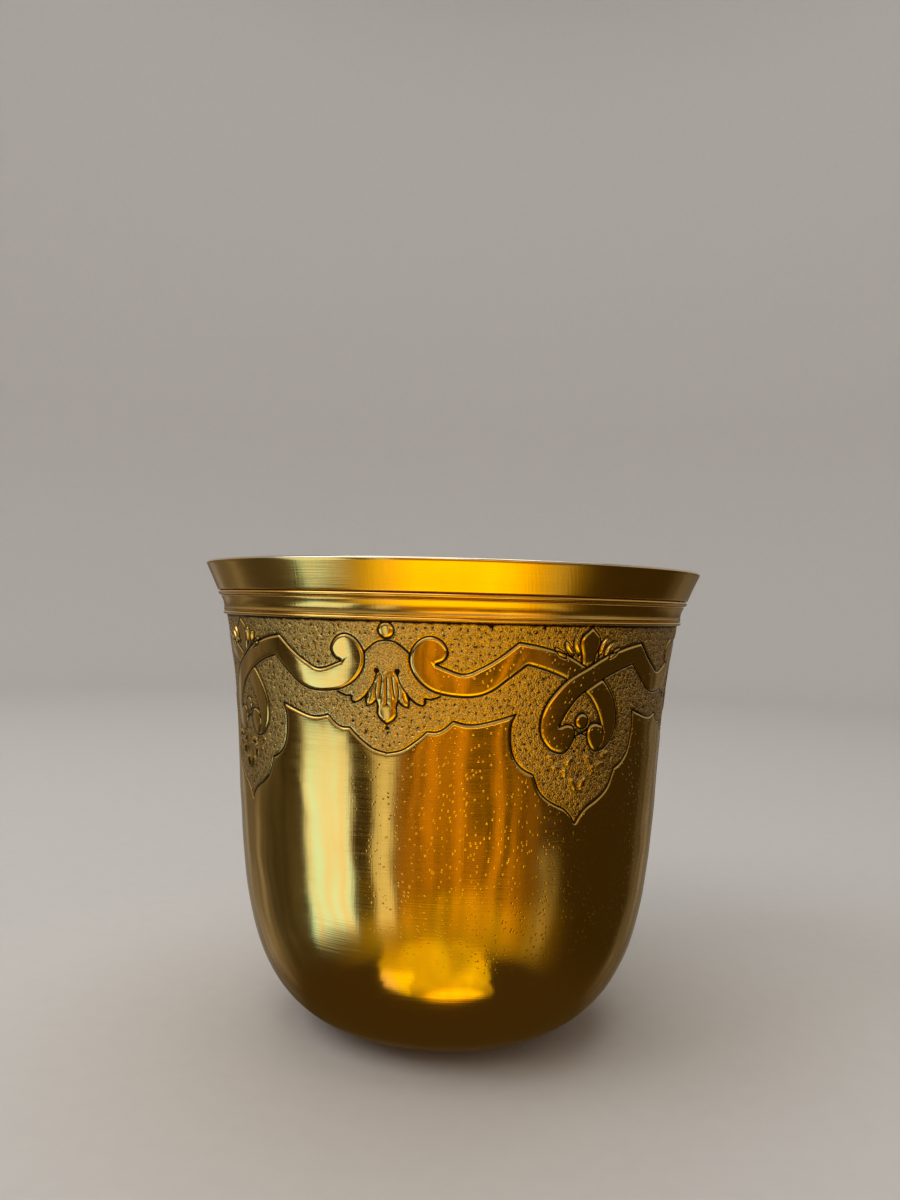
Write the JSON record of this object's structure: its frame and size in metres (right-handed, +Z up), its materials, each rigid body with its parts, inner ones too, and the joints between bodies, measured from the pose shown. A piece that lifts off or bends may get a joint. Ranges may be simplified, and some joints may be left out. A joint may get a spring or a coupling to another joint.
{
  "type": "silver-gilt beaker",
  "caption": "Handleless round-bottomed drinking beaker with a flared moulded lip and a chased strapwork frieze round the upper wall.",
  "frame": {"origin": "centre of the flat underneath that the beaker stands on", "axes": "+Z up along the axis of the beaker; one of the frieze's shells faces -Y"},
  "size_m": [0.08, 0.08, 0.0724],
  "materials": {
    "polished_gilding": "gilding on raised silver, burnished, matted in the ground of the frieze",
    "bright_gilding": "gilding on drawn silver mouldings, burnished, thin on the edges"
  },
  "bodies": {
    "root": {"raised_body": "polished_gilding", "lower_thread": "bright_gilding", "cavetto_band": "bright_gilding", "upper_thread": "bright_gilding", "flared_lip": "bright_gilding"}
  },
  "joints": []
}
